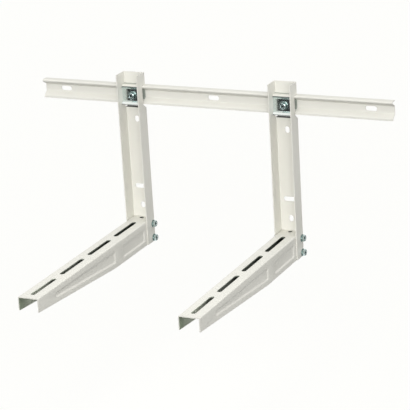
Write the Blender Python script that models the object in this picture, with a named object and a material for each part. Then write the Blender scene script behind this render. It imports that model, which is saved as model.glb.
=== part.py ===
"""Wall bracket for an air conditioner outdoor unit: a wall rail, two hooked posts and two cantilever arms.

The frame is the rail's: X runs along the rail with its mid-length at 0, the wall is the plane y = 0 with the
room for the unit on its -Y side, and z = 0 is the rail's mid-height. Lengths are in metres.
"""

from __future__ import annotations

import math
from collections.abc import Sequence

import bmesh
import bpy
from mathutils import Matrix, Vector
from mathutils.geometry import tessellate_polygon

# Clearances and sheet
FIT = 0.0003
SHEET = 0.002
BEND_RADIUS = 0.001
BEND_STEPS = 4
ARC_STEPS = 6

# Wall rail
RAIL_LENGTH = 0.800
RAIL_HEIGHT = 0.041
RAIL_WEB_HEIGHT = 0.0165
RAIL_TOP_SLOPE = math.radians(31.0)
RAIL_LIP_DEPTH = 0.013
RAIL_LIP_HEIGHT = 0.0045
RAIL_HOLE_LENGTH = 0.025
RAIL_HOLE_WIDTH = 0.010
RAIL_HOLE_INSET = 0.050

# Where the two brackets hang on the rail
LEFT_BRACKET_X = -0.184
RIGHT_BRACKET_X = 0.164

# Posts
POST_WIDTH = 0.050
POST_DEPTH = 0.0365
POST_HEIGHT = 0.376
POST_ABOVE_RAIL = 0.0255
NOTCH_CHAMFER = 0.012
NOTCH_WEB_GAP = 0.008
NOTCH_RELIEF = 0.0015
POST_HOLE_WIDTH = 0.010
POST_HOLE_LENGTH = 0.014
POST_SLOT_LENGTH = 0.030
POST_UPPER_HOLE_DROP = 0.1035
POST_SLOT_DROP = 0.2545
POST_LOWER_HOLE_DROP = 0.297

# Arms
ARM_LENGTH = 0.510
ARM_REAR_HEIGHT = 0.0525
ARM_FRONT_HEIGHT = 0.0288
ARM_KINK = 0.186
ARM_SLOT_COUNT = 4
ARM_SLOT_LENGTH = 0.094
ARM_SLOT_WIDTH = 0.010
ARM_SLOT_GAP = 0.024
ARM_SLOT_INSET = 0.017
ARM_HOLE_DIAMETER = 0.009
ARM_HOLE_FROM_WALL = 0.0115

# Pressed panels in the arm webs
PANEL_DEPTH = 0.002
PANEL_WALL_ANGLE = math.radians(45.0)
PANEL_CORNER = 0.0055
PANEL_SIDE_INSET = 0.0095
PANEL_TOP_INSET = 0.012
PANEL_FROM_KINK = 0.003
PANEL_FROM_FREE_END = 0.069
PANEL_RIB = 0.032
PANEL_FROM_POST = 0.010

# Fasteners, all M8
BOLT_DIAMETER = 0.008
HEX_FLATS = 0.013
HEAD_HEIGHT = 0.0053
NUT_HEIGHT = 0.0065
WASHER_DIAMETER = 0.016
WASHER_THICKNESS = 0.0016
BOLT_STICK_OUT = 0.003
HEX_CHAMFER = math.radians(30.0)
HEX_STATIONS = 24
BOLT_END_CHAMFER = 0.0008
ARM_BOLT_FROM_WALL = 0.009
ARM_BOLT_FROM_TOP = 0.0122
ARM_BOLT_FROM_BOTTOM = 0.0085

# Clamp inside each post
CLAMP_SHEET = 0.003
CLAMP_BEND_RADIUS = 0.0015
CLAMP_LIP_ANGLE = math.radians(45.0)
CLAMP_UPPER_LIP = 0.0045
CLAMP_LOWER_LIP = 0.009
CLAMP_LOWER_BEND = 0.0055
CLAMP_BOLT_DROP = 0.002
CLAMP_WASHER_DIAMETER = 0.018

# Finishes: colour, metallic and roughness
PAINT = ((0.83, 0.82, 0.76, 1.0), 0.0, 0.42)
ZINC = ((0.52, 0.58, 0.57, 1.0), 1.0, 0.30)

Loop = list[tuple[float, float]]


def rounded(core: Sequence[tuple[float, float]], radius: float, steps: int) -> Loop:
    """Outline at a distance from a point, a line or a convex polygon given counter-clockwise.

    Args:
        core: The corner points: one for a circle, two for a slot, more for a rounded polygon.
        radius: The distance from the core, which is the radius of every corner.
        steps: Segments in each quarter turn.

    Returns:
        The outline, counter-clockwise.
    """
    if len(core) == 1:
        full = 4 * steps
        angles = [2 * math.pi * i / full for i in range(full)]
        return [(core[0][0] + radius * math.cos(a), core[0][1] + radius * math.sin(a)) for a in angles]
    loop: Loop = []
    count = len(core)
    for index, (u, v) in enumerate(core):
        before = core[index - 1]
        after = core[(index + 1) % count]
        start = math.atan2(v - before[1], u - before[0]) - math.pi / 2
        end = math.atan2(after[1] - v, after[0] - u) - math.pi / 2
        turn = (end - start) % (2 * math.pi)
        parts = max(2, round(turn / (math.pi / 2) * steps))
        for part in range(parts + 1):
            angle = start + turn * part / parts
            loop.append((u + radius * math.cos(angle), v + radius * math.sin(angle)))
    return loop


def slot(u: float, v: float, length: float, width: float, along_u: bool = True) -> Loop:
    """Outline of a round-ended slot, by its centre and overall size."""
    half = (length - width) / 2
    ends = [(u - half, v), (u + half, v)] if along_u else [(u, v - half), (u, v + half)]
    return rounded(ends, width / 2, ARC_STEPS)


def circle(u: float, v: float, diameter: float) -> Loop:
    """Outline of a round hole."""
    return rounded([(u, v)], diameter / 2, ARC_STEPS)


class FoldedSheet:
    """A piece folded from sheet: flats and bends along one section, carried to both faces of the sheet.

    The section is a line of corners on the sheet's mid-surface. Every point of the skin is kept as a pair, one
    point on each face, so that the folded piece closes into a solid with a true thickness everywhere.
    """

    def __init__(
        self,
        corners: Sequence[tuple[float, float]],
        thickness: float,
        inner_radius: float,
        plane: tuple[Vector, Vector],
        axis: Vector,
    ) -> None:
        """Sets out the section.

        Args:
            corners: Corners of the section's mid-line, with its two ends.
            thickness: The sheet's thickness.
            inner_radius: Radius inside each bend.
            plane: Directions of the section's first and second coordinate.
            axis: Direction that the section runs along.
        """
        self.thickness = thickness
        self.radius = inner_radius + thickness / 2
        self.plane = plane
        self.axis = axis
        self.corners = [Vector(corner) for corner in corners]
        self.points: list[tuple[Vector, Vector]] = []
        self.index: dict[tuple[int, ...], int] = {}
        self.faces: list[tuple[int, ...]] = []
        self.starts: list[Vector] = []
        self.ends: list[Vector] = []
        for number in range(len(self.corners) - 1):
            first, last = self.corners[number], self.corners[number + 1]
            along = (last - first).normalized()
            self.starts.append(first + along * self.setback(number))
            self.ends.append(last - along * self.setback(number + 1))

    def turn(self, corner: int) -> float:
        """Signed angle through which the section turns at a corner."""
        before = self.corners[corner] - self.corners[corner - 1]
        after = self.corners[corner + 1] - self.corners[corner]
        return math.atan2(before.x * after.y - before.y * after.x, before.dot(after))

    def setback(self, corner: int) -> float:
        """Distance from a corner to where its bend begins, or 0 at the section's two ends."""
        if corner in (0, len(self.corners) - 1):
            return 0.0
        return self.radius * math.tan(abs(self.turn(corner)) / 2)

    def width(self, flat: int) -> float:
        """Width of a flat between its bends."""
        return (self.ends[flat] - self.starts[flat]).length

    def space(self, section: Vector, along: float) -> Vector:
        """A point in space from a point of the section plane and a distance along the axis."""
        return self.plane[0] * section.x + self.plane[1] * section.y + self.axis * along

    def pair(self, left: Vector, right: Vector) -> int:
        """Index of a skin point, which is a point on the section's left face and one on its right face."""
        key = tuple(round(value * 1e7) for value in (*left, *right))
        if key not in self.index:
            self.index[key] = len(self.points)
            self.points.append((left, right))
        return self.index[key]

    def bend_centre(self, corner: int) -> Vector:
        """Centre of the bend at a corner, in the section plane."""
        across = (self.corners[corner] - self.corners[corner - 1]).normalized()
        left_side = Vector((-across.y, across.x))
        return self.ends[corner - 1] + left_side * self.radius * math.copysign(1.0, self.turn(corner))

    def flat_pair(self, flat: int, u: float, v: float, shift: tuple[float, float, float] = (0, 0, 0)) -> int:
        """Index of the skin point at (u, v) of a flat: u along the axis, v across from the flat's start.

        Args:
            flat: Number of the flat.
            u: Distance along the axis.
            v: Distance across the flat.
            shift: Depth pressed to the right side, then how far the right face's point moves in u and v.
        """
        depth, right_u, right_v = shift
        across = (self.ends[flat] - self.starts[flat]).normalized()
        left_side = Vector((-across.y, across.x))
        half = self.thickness / 2
        left = self.starts[flat] + across * v + left_side * (half - depth)
        right = self.starts[flat] + across * (v + right_v) - left_side * (half + depth)
        return self.pair(self.space(left, u), self.space(right, u + right_u))

    def add_flat(self, flat: int, outline: Loop, holes: Sequence[Loop] = (), panels: Sequence[Loop] = ()) -> None:
        """Adds the skin of one flat.

        Args:
            flat: Number of the flat.
            outline: Its edge, as (along, across) points.
            holes: Outlines of the holes through it.
            panels: Core polygons of panels pressed to the section's right side.
        """
        loops = [[self.flat_pair(flat, u, v) for u, v in loop] for loop in (outline, *holes)]
        flat_loops = [outline, *holes]
        for core in panels:
            edge, edge_loop = self.add_panel(flat, core)
            loops.append(edge)
            flat_loops.append(edge_loop)
        indices = [index for loop in loops for index in loop]
        triangles = tessellate_polygon([[Vector((u, v, 0.0)) for u, v in loop] for loop in flat_loops])
        self.faces += [tuple(indices[corner] for corner in triangle) for triangle in triangles]

    def add_panel(self, flat: int, core: Loop) -> tuple[list[int], Loop]:
        """Adds the sloping walls and the floor of a pressed panel, and gives the points of its edge."""
        run = PANEL_DEPTH / math.tan(PANEL_WALL_ANGLE)
        spread = self.thickness * math.tan(PANEL_WALL_ANGLE / 2)
        rings = []
        loops = []
        for inset, depth in ((0.0, 0.0), (run, PANEL_DEPTH)):
            left = rounded(core, PANEL_CORNER - inset, ARC_STEPS)
            right = rounded(core, PANEL_CORNER - inset + spread, ARC_STEPS)
            rings.append(
                [
                    self.flat_pair(flat, u, v, (depth, right_u - u, right_v - v))
                    for (u, v), (right_u, right_v) in zip(left, right)
                ]
            )
            loops.append(left)
        edge, floor = rings
        count = len(edge)
        for place in range(count):
            after = (place + 1) % count
            self.faces.append((edge[place], edge[after], floor[after], floor[place]))
        self.faces.append(tuple(floor))
        return edge, loops[0]

    def add_bend(self, corner: int, start: float, end: float) -> None:
        """Adds the bend at a corner between two distances along the axis."""
        turn = self.turn(corner)
        side = math.copysign(1.0, turn)
        across = (self.corners[corner] - self.corners[corner - 1]).normalized()
        left_side = Vector((-across.y, across.x))
        centre = self.bend_centre(corner)
        rows = []
        for step in range(BEND_STEPS + 1):
            outward = Matrix.Rotation(turn * step / BEND_STEPS, 2) @ left_side
            mid = centre - outward * self.radius * side
            left = mid + outward * self.thickness / 2
            right = mid - outward * self.thickness / 2
            rows.append([self.pair(self.space(left, u), self.space(right, u)) for u in (start, end)])
        for row, after in zip(rows, rows[1:]):
            self.faces.append((row[0], row[1], after[1], after[0]))

    def mesh(self, name: str) -> bpy.types.Mesh:
        """The closed solid: both faces of the sheet, joined by a rim along every free edge."""
        count = len(self.points)
        used: dict[tuple[int, int], int] = {}
        for face in self.faces:
            for place, first in enumerate(face):
                last = face[(place + 1) % len(face)]
                key = (min(first, last), max(first, last))
                used[key] = used.get(key, 0) + 1
        faces = list(self.faces)
        faces += [tuple(index + count for index in reversed(face)) for face in self.faces]
        faces += [(a, b, b + count, a + count) for (a, b), times in used.items() if times == 1]
        points = [left for left, _ in self.points] + [right for _, right in self.points]
        return mesh_of(name, points, faces)


def mesh_of(name: str, points: Sequence[Vector], faces: Sequence[tuple[int, ...]]) -> bpy.types.Mesh:
    """A mesh with its faces turned outwards and its round surfaces shaded smooth."""
    mesh = bpy.data.meshes.new(name)
    mesh.from_pydata([tuple(point) for point in points], [], [list(face) for face in faces])
    work = bmesh.new()
    work.from_mesh(mesh)
    bmesh.ops.recalc_face_normals(work, faces=work.faces)
    work.to_mesh(mesh)
    work.free()
    mesh.shade_smooth()
    mesh.set_sharp_from_angle(angle=math.radians(30.0))
    return mesh


def lofted(name: str, rings: Sequence[Sequence[tuple[float, float, float]]], closed: bool) -> bpy.types.Mesh:
    """A loft through rings of points, closed on itself for a ring shape or capped at both ends."""
    stations = len(rings[0])
    points = [Vector(point) for ring in rings for point in ring]
    faces = []
    for number in range(len(rings) if closed else len(rings) - 1):
        base = number * stations
        above = (number + 1) % len(rings) * stations
        for place in range(stations):
            after = (place + 1) % stations
            faces.append((base + place, base + after, above + after, above + place))
    if not closed:
        last = (len(rings) - 1) * stations
        faces.append(tuple(reversed(range(stations))))
        faces.append(tuple(last + place for place in range(stations)))
    return mesh_of(name, points, faces)


def round_ring(radius: float, z: float) -> list[tuple[float, float, float]]:
    """A circle of stations at one height."""
    angles = [2 * math.pi * place / HEX_STATIONS for place in range(HEX_STATIONS)]
    return [(radius * math.cos(a), radius * math.sin(a), z) for a in angles]


def hex_ring(face_z: float, chamfer_up: float) -> list[tuple[float, float, float]]:
    """A hexagon of stations whose corners fall away from the end face by the chamfer.

    Args:
        face_z: Height of the end face, or of the plain hexagon.
        chamfer_up: 1 below an upper end face, -1 above a lower one, 0 for a plain hexagon.
    """
    ring = []
    for place in range(HEX_STATIONS):
        angle = 2 * math.pi * place / HEX_STATIONS
        from_flat = (angle + math.pi / 6) % (math.pi / 3) - math.pi / 6
        radius = HEX_FLATS / 2 / math.cos(from_flat)
        fall = (radius - chamfer_circle_radius()) * math.tan(HEX_CHAMFER)
        ring.append((radius * math.cos(angle), radius * math.sin(angle), face_z - chamfer_up * fall))
    return ring


def chamfer_circle_radius() -> float:
    """Radius of the flat circle that the chamfer leaves on a hexagon's end."""
    return 0.96 * HEX_FLATS / 2


def bolt_mesh(name: str, length: float) -> bpy.types.Mesh:
    """A hexagon bolt along Z with the underside of its head at z = 0 and its shank running down."""
    radius = BOLT_DIAMETER / 2
    rings = [
        round_ring(chamfer_circle_radius(), HEAD_HEIGHT),
        hex_ring(HEAD_HEIGHT, 1.0),
        hex_ring(0.0, 0.0),
        round_ring(radius, 0.0),
        round_ring(radius, BOLT_END_CHAMFER - length),
        round_ring(radius - BOLT_END_CHAMFER, -length),
    ]
    return lofted(name, rings, closed=False)


def nut_mesh(name: str) -> bpy.types.Mesh:
    """A hexagon nut along Z between z = 0 and its height, with a clear bore for the bolt."""
    bore = BOLT_DIAMETER / 2 + FIT
    rings = [
        round_ring(bore, 0.0),
        round_ring(chamfer_circle_radius(), 0.0),
        hex_ring(0.0, -1.0),
        hex_ring(NUT_HEIGHT, 1.0),
        round_ring(chamfer_circle_radius(), NUT_HEIGHT),
        round_ring(bore, NUT_HEIGHT),
    ]
    return lofted(name, rings, closed=True)


def washer_mesh(name: str, diameter: float) -> bpy.types.Mesh:
    """A flat washer along Z between z = 0 and its thickness."""
    bore = BOLT_DIAMETER / 2 + FIT
    rings = [
        round_ring(bore, 0.0),
        round_ring(diameter / 2, 0.0),
        round_ring(diameter / 2, WASHER_THICKNESS),
        round_ring(bore, WASHER_THICKNESS),
    ]
    return lofted(name, rings, closed=True)


# Heights and depths that the pieces share
POST_TOP = RAIL_HEIGHT / 2 + POST_ABOVE_RAIL
POST_BOTTOM = POST_TOP - POST_HEIGHT
ARM_TOP = POST_BOTTOM + ARM_REAR_HEIGHT
ARM_WIDTH = POST_WIDTH - 2 * SHEET - 2 * FIT
BOLT_HOLE = BOLT_DIAMETER + 2 * FIT
ARM_BOLT_HEIGHTS = {"upper": ARM_TOP - ARM_BOLT_FROM_TOP, "lower": POST_BOTTOM + ARM_BOLT_FROM_BOTTOM}
EAST, NORTH, UP = Vector((1, 0, 0)), Vector((0, 1, 0)), Vector((0, 0, 1))


def rail_sheet() -> FoldedSheet:
    """The rail's section from its lip up to its top flange, as (y, z) corners of the mid-line."""
    half = SHEET / 2
    top = RAIL_HEIGHT / 2 - half
    web_half = RAIL_WEB_HEIGHT / 2
    nose = half + (top - web_half) / math.tan(RAIL_TOP_SLOPE)
    lip = RAIL_LIP_DEPTH - half
    corners = [
        (-lip, -RAIL_HEIGHT / 2),
        (-lip, -RAIL_HEIGHT / 2 + RAIL_LIP_HEIGHT),
        (-half, -web_half),
        (-half, web_half),
        (-nose, top),
        (0.0, top),
    ]
    return FoldedSheet(corners, SHEET, BEND_RADIUS, (NORTH, UP), EAST)


def rail_nose() -> tuple[Vector, float]:
    """Centre and outer radius of the rail's round nose, in the section plane."""
    sheet = rail_sheet()
    nose_bend = 4
    return sheet.bend_centre(nose_bend), sheet.radius + SHEET / 2


def rail_depth() -> float:
    """How far the rail's nose stands off the wall."""
    centre, radius = rail_nose()
    return radius - centre.x


def rail_mesh() -> bpy.types.Mesh:
    """The wall rail: five flats, four bends and the fixing holes in its web."""
    sheet = rail_sheet()
    end = RAIL_LENGTH / 2
    web_flat = 2
    for flat in range(len(sheet.starts)):
        width = sheet.width(flat)
        outline = [(-end, 0.0), (end, 0.0), (end, width), (-end, width)]
        places = (RAIL_HOLE_INSET - end, 0.0, end - RAIL_HOLE_INSET) if flat == web_flat else ()
        holes = [slot(u, width / 2, RAIL_HOLE_LENGTH, RAIL_HOLE_WIDTH) for u in places]
        sheet.add_flat(flat, outline, holes)
    for corner in range(1, len(sheet.corners) - 1):
        sheet.add_bend(corner, -end, end)
    return sheet.mesh("wall_rail")


def post_mesh() -> bpy.types.Mesh:
    """One post: a U channel whose back is notched for the rail, with a lead-in chamfer below the notch."""
    half = SHEET / 2
    side = POST_WIDTH / 2 - half
    corners = [(-side, -POST_DEPTH), (-side, -half), (side, -half), (side, -POST_DEPTH)]
    sheet = FoldedSheet(corners, SHEET, BEND_RADIUS, (EAST, NORTH), UP)
    flange = sheet.width(0)
    web = sheet.width(1)

    notch_depth = rail_depth() + FIT
    notch_top = RAIL_HEIGHT / 2 + FIT
    notch_bottom = -notch_top
    notch_front = POST_DEPTH - notch_depth
    chamfer_rise = NOTCH_CHAMFER * (flange - notch_front) / notch_depth
    lower_end = notch_bottom - chamfer_rise
    web_edge = notch_bottom - NOTCH_WEB_GAP

    outline = [
        (POST_BOTTOM, 0.0),
        (POST_TOP, 0.0),
        (POST_TOP, flange),
        (notch_top, flange),
        (notch_top, notch_front),
        (notch_bottom, notch_front),
        (lower_end, flange),
        (POST_BOTTOM, flange),
    ]
    bolt_across = POST_DEPTH - ARM_BOLT_FROM_WALL
    bolt_holes = [circle(z, bolt_across, BOLT_HOLE) for z in ARM_BOLT_HEIGHTS.values()]
    sheet.add_flat(0, outline, bolt_holes)
    sheet.add_flat(
        2,
        [(u, flange - v) for u, v in reversed(outline)],
        [[(u, flange - v) for u, v in reversed(hole)] for hole in bolt_holes],
    )

    tab = (NOTCH_RELIEF, web - NOTCH_RELIEF)
    lower_web = [
        (POST_BOTTOM, 0.0),
        (lower_end, 0.0),
        (lower_end, tab[0]),
        (web_edge, tab[0]),
        (web_edge, tab[1]),
        (lower_end, tab[1]),
        (lower_end, web),
        (POST_BOTTOM, web),
    ]
    middle = web / 2
    web_holes = [
        slot(POST_TOP - POST_UPPER_HOLE_DROP, middle, POST_HOLE_LENGTH, POST_HOLE_WIDTH),
        slot(POST_TOP - POST_SLOT_DROP, middle, POST_SLOT_LENGTH, POST_HOLE_WIDTH, along_u=False),
        slot(POST_TOP - POST_LOWER_HOLE_DROP, middle, POST_HOLE_LENGTH, POST_HOLE_WIDTH),
    ]
    sheet.add_flat(1, lower_web, web_holes)
    sheet.add_flat(1, [(notch_top, 0.0), (POST_TOP, 0.0), (POST_TOP, web), (notch_top, web)])
    for corner in (1, 2):
        sheet.add_bend(corner, POST_BOTTOM, lower_end)
        sheet.add_bend(corner, notch_top, POST_TOP)
    return sheet.mesh("post")


def arm_mesh() -> bpy.types.Mesh:
    """One arm: an inverted U channel along -Y with slots in its top and pressed panels in its webs."""
    half = SHEET / 2
    side = ARM_WIDTH / 2 - half
    top = ARM_TOP - half
    corners = [(-side, POST_BOTTOM), (-side, top), (side, top), (side, POST_BOTTOM)]
    sheet = FoldedSheet(corners, SHEET, BEND_RADIUS, (EAST, UP), -NORTH)
    web = sheet.width(0)
    across = sheet.width(1)
    rear = SHEET + FIT
    taper = (ARM_REAR_HEIGHT - ARM_FRONT_HEIGHT) / (ARM_LENGTH - ARM_KINK)

    def bottom(u: float) -> float:
        """Height of a web's lower edge above the post's foot."""
        return max(0.0, (u - ARM_KINK) * taper)

    outline = [(rear, 0.0), (ARM_KINK, 0.0), (ARM_LENGTH, bottom(ARM_LENGTH)), (ARM_LENGTH, web), (rear, web)]
    bolt_holes = [circle(ARM_BOLT_FROM_WALL, z - POST_BOTTOM, BOLT_HOLE) for z in ARM_BOLT_HEIGHTS.values()]
    panel_top = ARM_REAR_HEIGHT - PANEL_TOP_INSET - PANEL_CORNER
    ends = [
        (POST_DEPTH + PANEL_FROM_POST, ARM_KINK - PANEL_FROM_KINK - PANEL_RIB),
        (ARM_KINK - PANEL_FROM_KINK, ARM_LENGTH - PANEL_FROM_FREE_END),
    ]
    panels = []
    for first, last in ends:
        u_ends = (first + PANEL_CORNER, last - PANEL_CORNER)
        low = [bottom(u) + PANEL_SIDE_INSET + PANEL_CORNER for u in u_ends]
        panels.append([(u_ends[0], low[0]), (u_ends[1], low[1]), (u_ends[1], panel_top), (u_ends[0], panel_top)])

    sheet.add_flat(0, outline, bolt_holes, panels)
    mirrored = [[(u, web - v) for u, v in reversed(loop)] for loop in (outline, *bolt_holes)]
    mirrored_panels = [[(u, web - v) for u, v in reversed(core)] for core in panels]
    sheet.add_flat(2, mirrored[0], mirrored[1:], mirrored_panels)

    middle = across / 2
    pitch = ARM_SLOT_LENGTH + ARM_SLOT_GAP
    first_slot = ARM_LENGTH - ARM_SLOT_INSET - ARM_SLOT_LENGTH / 2
    holes = [
        slot(first_slot - number * pitch, middle, ARM_SLOT_LENGTH, ARM_SLOT_WIDTH)
        for number in range(ARM_SLOT_COUNT)
    ]
    holes.append(circle(ARM_HOLE_FROM_WALL, middle, ARM_HOLE_DIAMETER))
    sheet.add_flat(1, [(rear, 0.0), (ARM_LENGTH, 0.0), (ARM_LENGTH, across), (rear, across)], holes)
    for corner in (1, 2):
        sheet.add_bend(corner, rear, ARM_LENGTH)
    return sheet.mesh("arm")


def clamp_back() -> float:
    """How far the clamp plate's back stands off the wall, just clear of the rail's lip."""
    return RAIL_LIP_DEPTH + FIT


def clamp_plate_mesh() -> bpy.types.Mesh:
    """One clamp plate: a flat on the rail's lip, a short lip under the rail's nose and a long lip flared forward."""
    half = CLAMP_SHEET / 2
    middle = -(clamp_back() + half)
    out, rise = math.sin(CLAMP_LIP_ANGLE), math.cos(CLAMP_LIP_ANGLE)
    nose, nose_radius = rail_nose()
    clear = nose_radius + FIT + half
    upper = (rise * (nose.x - middle) + out * nose.y - clear) / out
    lower = CLAMP_LOWER_BEND - RAIL_HEIGHT / 2
    corners = [
        (middle - out * CLAMP_LOWER_LIP, lower - rise * CLAMP_LOWER_LIP),
        (middle, lower),
        (middle, upper),
        (middle - out * CLAMP_UPPER_LIP, upper + rise * CLAMP_UPPER_LIP),
    ]
    sheet = FoldedSheet(corners, CLAMP_SHEET, CLAMP_BEND_RADIUS, (NORTH, UP), EAST)
    end = ARM_WIDTH / 2
    bolt_flat = 1
    for flat in range(len(sheet.starts)):
        width = sheet.width(flat)
        hole = [circle(0.0, -CLAMP_BOLT_DROP - sheet.starts[flat].y, BOLT_HOLE)] if flat == bolt_flat else []
        sheet.add_flat(flat, [(-end, 0.0), (end, 0.0), (end, width), (-end, width)], hole)
    for corner in (1, 2):
        sheet.add_bend(corner, -end, end)
    return sheet.mesh("clamp_plate")


def finish(name: str, colour: tuple[float, ...], metallic: float, roughness: float) -> bpy.types.Material:
    """A material with one Principled shader."""
    material = bpy.data.materials.new(name)
    material.use_nodes = True
    shader = material.node_tree.nodes["Principled BSDF"]
    shader.inputs["Base Color"].default_value = colour
    shader.inputs["Metallic"].default_value = metallic
    shader.inputs["Roughness"].default_value = roughness
    material.diffuse_color = colour
    return material


def place(
    name: str,
    mesh: bpy.types.Mesh,
    material: bpy.types.Material,
    parent: bpy.types.Object,
    location: tuple[float, float, float] = (0.0, 0.0, 0.0),
    rotation: tuple[float, float, float] = (0.0, 0.0, 0.0),
) -> bpy.types.Object:
    """Puts a piece in the scene under its parent, with a material of its own."""
    piece = bpy.data.objects.new(name, mesh)
    bpy.context.scene.collection.objects.link(piece)
    if not mesh.materials:
        mesh.materials.append(None)
    piece.material_slots[0].link = "OBJECT"
    piece.material_slots[0].material = material
    piece.parent = parent
    piece.location = location
    piece.rotation_euler = rotation
    return piece


def empty(name: str, parent: bpy.types.Object | None, x: float) -> bpy.types.Object:
    """An empty that carries the pieces of one assembly."""
    holder = bpy.data.objects.new(name, None)
    bpy.context.scene.collection.objects.link(holder)
    holder.parent = parent
    holder.location = (x, 0.0, 0.0)
    return holder


def place_clamp(side: str, holder: bpy.types.Object, meshes: dict[str, bpy.types.Mesh]) -> None:
    """The clamp plate in front of the rail with its bolt, washer and nut along the wall's normal."""
    forward = (math.pi / 2, 0.0, 0.0)
    back = -clamp_back()
    washer = back - CLAMP_SHEET - FIT
    head = washer - WASHER_THICKNESS - FIT
    nut = back + FIT + NUT_HEIGHT
    plate = f"{side}_clamp_plate"
    place(plate, meshes["clamp_plate"], finish(plate, *ZINC), holder)
    for kind, y in (("clamp_washer", washer), ("clamp_bolt", head), ("clamp_nut", nut)):
        name = f"{side}_{kind}"
        place(name, meshes[kind], finish(name, *ZINC), holder, (0.0, y, -CLAMP_BOLT_DROP), forward)


def place_arm_bolt(side: str, level: str, holder: bpy.types.Object, meshes: dict[str, bpy.types.Mesh]) -> None:
    """One bolt through the post and the arm along X, its head on the right flange and its nut on the left."""
    outward = (0.0, math.pi / 2, 0.0)
    face = POST_WIDTH / 2
    washer = face + FIT
    head = washer + WASHER_THICKNESS + FIT
    items = (
        ("arm_washer", washer),
        ("arm_bolt", head),
        ("nut_washer", -washer - WASHER_THICKNESS),
        ("arm_nut", -head - NUT_HEIGHT),
    )
    for kind, x in items:
        name = f"{side}_{kind}_{level}"
        spot = (x, -ARM_BOLT_FROM_WALL, ARM_BOLT_HEIGHTS[level])
        place(name, meshes[kind], finish(name, *ZINC), holder, spot, outward)


def main() -> None:
    """Clears the scene and builds the whole bracket."""
    for old in list(bpy.data.objects):
        bpy.data.objects.remove(old, do_unlink=True)

    clamp_grip = CLAMP_SHEET + WASHER_THICKNESS + 2 * FIT
    clamp_bolt_length = clamp_back() + clamp_grip - SHEET - FIT
    arm_bolt_length = POST_WIDTH + 2 * (WASHER_THICKNESS + 2 * FIT) + NUT_HEIGHT + BOLT_STICK_OUT
    meshes = {
        "clamp_plate": clamp_plate_mesh(),
        "clamp_washer": washer_mesh("clamp_washer", CLAMP_WASHER_DIAMETER),
        "clamp_bolt": bolt_mesh("clamp_bolt", clamp_bolt_length),
        "clamp_nut": nut_mesh("clamp_nut"),
        "arm_bolt": bolt_mesh("arm_bolt", arm_bolt_length),
        "arm_nut": nut_mesh("arm_nut"),
        "arm_washer": washer_mesh("arm_washer", WASHER_DIAMETER),
        "nut_washer": washer_mesh("nut_washer", WASHER_DIAMETER),
    }
    post = post_mesh()
    arm = arm_mesh()

    bracket = empty("bracket", None, 0.0)
    place("wall_rail", rail_mesh(), finish("wall_rail", *PAINT), bracket)
    for side, x in (("left", LEFT_BRACKET_X), ("right", RIGHT_BRACKET_X)):
        holder = empty(f"{side}_bracket", bracket, x)
        place(f"{side}_post", post, finish(f"{side}_post", *PAINT), holder)
        place(f"{side}_arm", arm, finish(f"{side}_arm", *PAINT), holder)
        place_clamp(side, holder, meshes)
        for level in ARM_BOLT_HEIGHTS:
            place_arm_bolt(side, level, holder, meshes)


main()
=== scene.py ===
"""Looks of a wall bracket for an air conditioner outdoor unit.

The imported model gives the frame. Each sheet part, bolt, nut and washer is rebuilt here with its fine form:
rounded bends, softened cut edges, pressed panels with soft shoulders and rolled threads. Lengths are in
metres; X runs along the rail, the wall is the plane y = 0 and the arms reach out along -Y.
"""

from __future__ import annotations

import logging
import math
from collections import Counter
from collections.abc import Callable, Sequence
from dataclasses import dataclass, field
from enum import Enum

import bmesh
import bpy
from mathutils import Matrix, Vector
from mathutils.geometry import tessellate_polygon


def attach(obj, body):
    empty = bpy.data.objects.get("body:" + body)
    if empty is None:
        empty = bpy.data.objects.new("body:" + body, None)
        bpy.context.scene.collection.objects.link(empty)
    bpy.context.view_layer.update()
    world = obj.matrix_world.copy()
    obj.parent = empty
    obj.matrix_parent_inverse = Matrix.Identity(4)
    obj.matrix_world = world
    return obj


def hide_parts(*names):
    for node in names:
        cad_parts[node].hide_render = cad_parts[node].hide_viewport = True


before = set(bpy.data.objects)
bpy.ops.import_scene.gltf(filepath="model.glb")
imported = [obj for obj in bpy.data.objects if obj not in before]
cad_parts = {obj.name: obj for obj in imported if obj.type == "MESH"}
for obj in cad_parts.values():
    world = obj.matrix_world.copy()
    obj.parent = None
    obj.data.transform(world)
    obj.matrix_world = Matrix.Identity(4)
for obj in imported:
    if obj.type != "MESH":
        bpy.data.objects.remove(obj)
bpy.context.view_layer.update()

BODY = "root"
EAST = Vector((1.0, 0.0, 0.0))
NORTH = Vector((0.0, 1.0, 0.0))
UP = Vector((0.0, 0.0, 1.0))
FAR = 1.0  # beyond every point of the bracket
FIT = 0.0003  # gap between pieces that are clamped together
SHEET_EDGE = 0.0003  # radius that softens the painted sheets' cut edges
PLATE_EDGE = 0.0005  # radius that softens the clamp plates' cut edges
ARC_STEPS = 9  # segments in a quarter of a hole's end
POINTS_PER_METRE = 1e7  # places that round to the same one are the same point
MERGE_ANGLE = math.radians(0.2)  # triangles that meet at less are merged
SHARP_ANGLE = math.radians(35.0)  # faces that meet at more keep a sharp edge
SOFTEN_ANGLE = math.radians(40.0)  # edges that turn by more are softened
FLOOR_HEIGHT = -0.62

logging.basicConfig(level=logging.INFO, format="%(levelname)s %(message)s")
log = logging.getLogger("bracket")

Colour = tuple[float, float, float, float]
Point = tuple[float, float, float]
Pair = tuple[float, float]
Loop = list[Pair]
Size = float | Callable[[float], float]
Socket = bpy.types.NodeSocket


class Finish(Enum):
    """The finishes, each with the record's material slot and a word that tells it from the others."""

    POWDER_COAT = ("powder_coat", "coat")
    # The rail's and the posts' coats carry painted shadow.
    RAIL_COAT = ("powder_coat", "rail")
    POST_COAT = ("powder_coat", "post")
    # The clamp plates' zinc is lighter, with a painted highlight.
    PLATE_ZINC = ("zinc_plate", "plate")
    BOLT_ZINC = ("zinc_plate", "bolt")
    # The washers' zinc is darker: painted shade.
    WASHER_ZINC = ("zinc_plate", "washer")

    @property
    def slot(self) -> str:
        """The record's material slot."""
        return self.value[0]


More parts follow.
